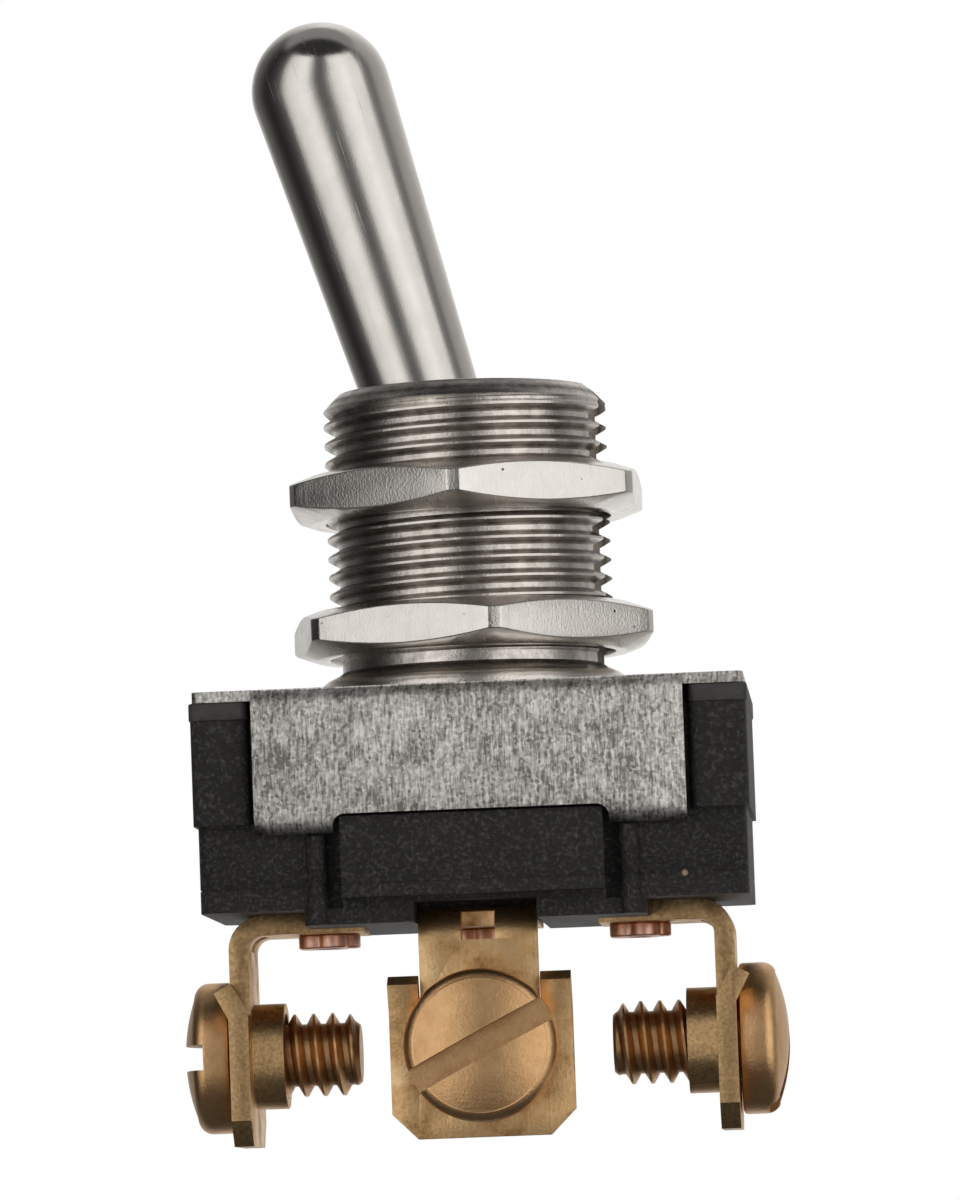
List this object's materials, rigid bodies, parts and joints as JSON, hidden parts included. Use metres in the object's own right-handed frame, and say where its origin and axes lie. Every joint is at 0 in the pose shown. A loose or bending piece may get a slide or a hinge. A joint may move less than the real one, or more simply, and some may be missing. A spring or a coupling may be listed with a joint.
{
  "type": "panel toggle switch",
  "caption": "Panel toggle switch with a bat lever, threaded bushing with hex nuts, folded metal frame, black moulded case and brass screw terminals.",
  "frame": {"origin": "on the bushing axis, at the top face of the mounting frame", "axes": "+Z along the bushing axis towards the lever, +X along the row of terminals in the lever's plane, -Y towards the centre terminal's screw head"},
  "size_m": [0.0252, 0.0162, 0.0473],
  "materials": {
    "nickel_lever": "polished nickel plate, lightly hazed",
    "nickel_bushing": "nickel plate on turned thread",
    "nickel_nut": "bright nickel plate",
    "plated_frame": "dull plated sheet steel, mottled",
    "fibre_gasket": "black insulating sheet",
    "phenolic_case": "black phenolic moulding, granular",
    "brass_strip": "rolled brass, sheared edges",
    "brass_screw": "turned brass, brown with age",
    "copper_rivet": "copper, clinched",
    "silver_contact": "silver contact face",
    "steel_pin": "ground steel",
    "spring_steel": "drawn spring wire",
    "nylon_plunger": "natural nylon"
  },
  "bodies": {
    "housing": {"bushing": "nickel_bushing", "mounting_frame": "plated_frame", "gasket": "fibre_gasket", "case": "phenolic_case", "terminal_left": "brass_strip", "terminal_center": "brass_strip", "terminal_right": "brass_strip", "rivet_left": "copper_rivet", "rivet_center": "copper_rivet", "rivet_right": "copper_rivet", "fixed_contact_left": "silver_contact", "fixed_contact_right": "silver_contact", "fulcrum_yoke": "brass_strip"},
    "lever": {"bat_lever": "nickel_lever", "lever_pin": "steel_pin", "plunger_spring": "spring_steel"},
    "plunger": {"plunger": "nylon_plunger"},
    "rocker": {"contact_rocker": "brass_strip", "moving_contact_left": "silver_contact", "moving_contact_right": "silver_contact"},
    "upper_nut": {"upper_hex_nut": "nickel_nut"},
    "lower_nut": {"lower_hex_nut": "nickel_nut"},
    "screw_left": {"terminal_screw_left": "brass_screw"},
    "screw_center": {"terminal_screw_center": "brass_screw"},
    "screw_right": {"terminal_screw_right": "brass_screw"}
  },
  "joints": [
    {"name": "lever_tilt", "type": "hinge", "parent": "housing", "child": "lever", "pos_m": [0, 0, 0.00643], "axis": [0, 1, 0], "range_deg": [0, 32.2]},
    {"name": "plunger_slide", "type": "slide", "parent": "lever", "child": "plunger", "axis": [-0.2773, 0, 0.9608], "range_m": [0, 0.0009], "stiffness_N_per_m": 1900, "springref_m": -0.0005, "deforming": ["plunger_spring"]},
    {"name": "rocker_tilt", "type": "hinge", "parent": "housing", "child": "rocker", "pos_m": [0, 0, -0.006], "axis": [0, 1, 0], "range_deg": [-18.01, 0]},
    {"name": "upper_nut_travel", "type": "slide", "parent": "housing", "child": "upper_nut", "axis": [0, 0, 1], "range_m": [-0.0018, 0.0034]},
    {"name": "lower_nut_travel", "type": "slide", "parent": "housing", "child": "lower_nut", "axis": [0, 0, 1], "range_m": [-0.0003, 0.0018]},
    {"name": "screw_left_travel", "type": "slide", "parent": "housing", "child": "screw_left", "axis": [-1, 0, 0], "range_m": [0, 0.003]},
    {"name": "screw_center_travel", "type": "slide", "parent": "housing", "child": "screw_center", "axis": [0, -1, 0], "range_m": [0, 0.003]},
    {"name": "screw_right_travel", "type": "slide", "parent": "housing", "child": "screw_right", "axis": [1, 0, 0], "range_m": [0, 0.003]}
  ],
  "couplings": [
    {"joint": "rocker_tilt", "follows": "lever_tilt", "ratio": -0.559}
  ]
}
